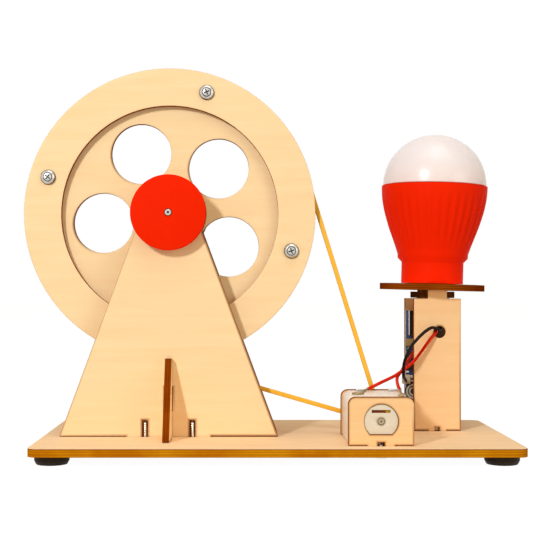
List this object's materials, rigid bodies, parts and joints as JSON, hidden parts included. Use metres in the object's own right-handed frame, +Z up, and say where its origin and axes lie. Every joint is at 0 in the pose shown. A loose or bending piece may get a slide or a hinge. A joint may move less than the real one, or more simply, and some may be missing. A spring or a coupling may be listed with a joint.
{
  "type": "hand crank generator",
  "caption": "Plywood hand crank generator kit: a large belt wheel on A-frame uprights drives a small generator that feeds a lamp on a pillar.",
  "frame": {"origin": "on the floor under the middle of the whole object's box", "axes": "+X along the base board towards the lamp, +Y away from the front, +Z up"},
  "size_m": [0.2196, 0.108, 0.1754],
  "materials": {
    "plywood": "pale laser-cut plywood sheet with burnt brown edges",
    "red_plastic": "moulded red plastic with a soft gloss",
    "dome_plastic": "milky translucent plastic",
    "cream_plastic": "moulded off-white plastic",
    "white_plastic": "plain white plastic and foam",
    "belt_rubber": "yellow rubber",
    "foot_rubber": "black rubber",
    "steel": "bright plated steel",
    "copper": "bare copper",
    "ferrite": "dark grey ferrite",
    "core_iron": "stacked iron laminations",
    "circuit_board": "blue circuit board",
    "capacitor_resin": "tan resin",
    "red_wire": "red flexible insulation",
    "black_wire": "black flexible insulation"
  },
  "bodies": {
    "root": {"base_board": "plywood", "board_lead": "red_wire", "brush_lower": "copper", "brush_upper": "copper", "bulb_dome": "dome_plastic", "bulb_housing": "red_plastic", "bulb_led_board": "white_plastic", "capacitor": "capacitor_resin", "converter_board": "circuit_board", "drive_belt": "belt_rubber", "foam_pad": "white_plastic", "foot_front_left": "foot_rubber", "foot_front_right": "foot_rubber", "foot_rear_left": "foot_rubber", "foot_rear_right": "foot_rubber", "front_brace": "plywood", "front_upright": "plywood", "generator_end_cap": "cream_plastic", "generator_housing": "cream_plastic", "inductor": "ferrite", "lamp_lead": "red_wire", "lamp_seat": "plywood", "lamp_shelf": "plywood", "lead_connector": "white_plastic", "magnet_left": "ferrite", "magnet_right": "ferrite", "motor_front_plate": "plywood", "motor_rear_plate": "plywood", "motor_screw_front": "steel", "motor_screw_rear": "steel", "pillar_front_plate": "plywood", "pillar_rear_plate": "plywood", "rear_brace": "plywood", "rear_upright": "plywood", "return_lead": "black_wire", "terminal_left": "steel", "terminal_right": "steel", "upright_screw_front_left": "steel", "upright_screw_front_right": "steel", "upright_screw_rear_left": "steel", "upright_screw_rear_right": "steel", "usb_socket": "steel"},
    "wheel": {"wheel_front_ring": "plywood", "wheel_web": "plywood", "wheel_rear_ring": "plywood", "wheel_screw_1": "steel", "wheel_screw_2": "steel", "wheel_screw_3": "steel", "wheel_screw_4": "steel", "axle": "steel", "red_disc": "red_plastic", "front_spacer": "white_plastic", "rear_spacer": "white_plastic", "crank_arm": "red_plastic", "crank_pin": "steel"},
    "handle": {"crank_grip": "red_plastic"},
    "rotor": {"rotor_shaft": "steel", "armature": "core_iron", "commutator": "copper", "pulley": "cream_plastic"}
  },
  "joints": [
    {"name": "wheel_spin", "type": "hinge", "parent": "root", "child": "wheel", "pos_m": [-0.04317, -0.0017, 0.1088], "axis": [0, 1, 0], "continuous": true},
    {"name": "handle_spin", "type": "hinge", "parent": "wheel", "child": "handle", "pos_m": [-0.04317, -0.0017, 0.0708], "axis": [0, 1, 0], "continuous": true},
    {"name": "pulley_spin", "type": "hinge", "parent": "root", "child": "rotor", "pos_m": [0.04902, -0.0017, 0.0183], "axis": [0, 1, 0], "continuous": true}
  ],
  "couplings": [
    {"joint": "pulley_spin", "follows": "wheel_spin", "ratio": 16.744}
  ]
}
